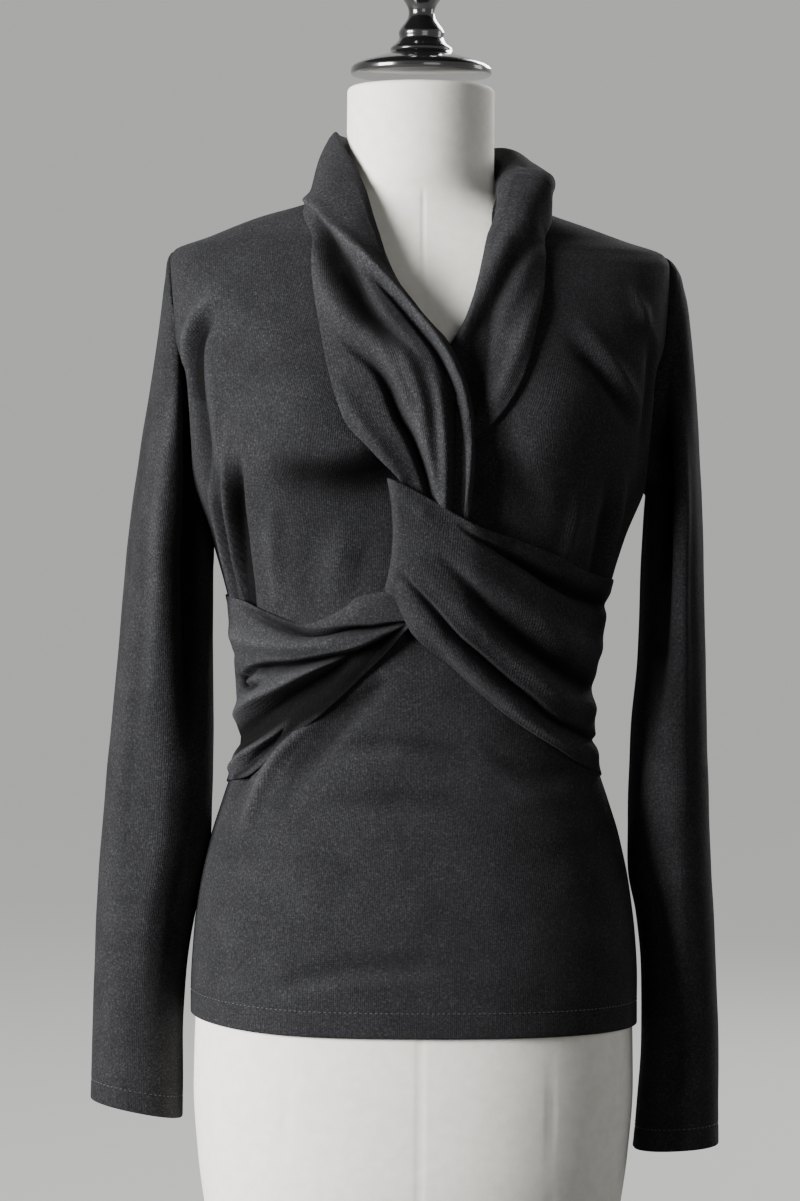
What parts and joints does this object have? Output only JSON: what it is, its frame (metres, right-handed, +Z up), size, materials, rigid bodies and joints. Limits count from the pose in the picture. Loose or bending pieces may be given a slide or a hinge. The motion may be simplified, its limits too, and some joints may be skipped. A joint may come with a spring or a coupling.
{
  "type": "sweater on a dress form",
  "caption": "Long-sleeved jersey sweater with a shawl collar that twists into gathered sashes, worn by a limbless dress form on a round foot.",
  "frame": {"origin": "centre of the stand's underside, on the floor", "axes": "+Z up, front towards -Y, +X towards the wearer's left"},
  "size_m": [0.4567, 0.3, 1.0823],
  "materials": {
    "jersey": "fine charcoal wool jersey with a soft nap",
    "canvas": "smooth off-white cotton canvas stretched over a hard form",
    "turned_wood": "black gloss lacquer on turned wood",
    "steel": "black semi-gloss paint on steel"
  },
  "bodies": {
    "root": {"lower_front": "jersey", "bodice_right": "jersey", "bodice_left": "jersey", "back": "jersey", "sleeve_right": "jersey", "sleeve_left": "jersey", "collar_right": "jersey", "collar_left": "jersey", "sash_right": "jersey", "sash_left": "jersey", "form_torso": "canvas", "neck_cap": "turned_wood", "stand_post": "steel", "stand_base": "steel"}
  },
  "joints": []
}
